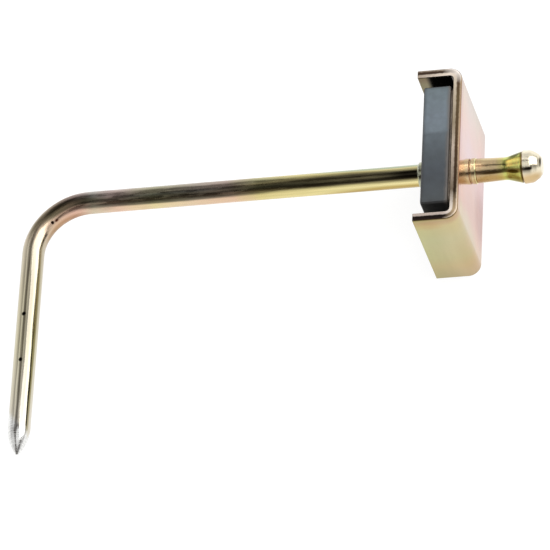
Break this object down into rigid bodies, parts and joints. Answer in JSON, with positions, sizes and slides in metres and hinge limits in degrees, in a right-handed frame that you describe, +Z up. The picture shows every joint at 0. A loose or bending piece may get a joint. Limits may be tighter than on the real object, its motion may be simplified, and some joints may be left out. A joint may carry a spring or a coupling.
{
  "type": "hoof pick",
  "caption": "L-shaped hoof pick of bent round bar with a ground point, a channel magnet that turns on the bar, and a turned knob behind it.",
  "frame": {"origin": "on the surface that the channel stands on, under the swivel axis, at the outer face of the channel's plate", "axes": "+X along the swivel axis towards the knob, -Y the way the leg of the pick points at rest, +Z up from the standing surface, along the channel's length"},
  "size_m": [0.1882, 0.1305, 0.041],
  "materials": {
    "plated_steel": "glossy yellow passivated zinc plating",
    "ferrite": "satin, as pressed and sintered",
    "epoxy": "cured dark brown filled epoxy"
  },
  "bodies": {
    "head": {"channel": "plated_steel", "adhesive_bed": "epoxy", "magnet_block": "ferrite"},
    "pick": {"pick_rod": "plated_steel", "stop_collar": "plated_steel", "thrust_ring": "plated_steel", "knob": "plated_steel"}
  },
  "joints": [
    {"name": "pick_swivel", "type": "hinge", "parent": "head", "child": "pick", "pos_m": [0, 0, 0.0205], "axis": [-1, 0, 0], "continuous": true}
  ]
}
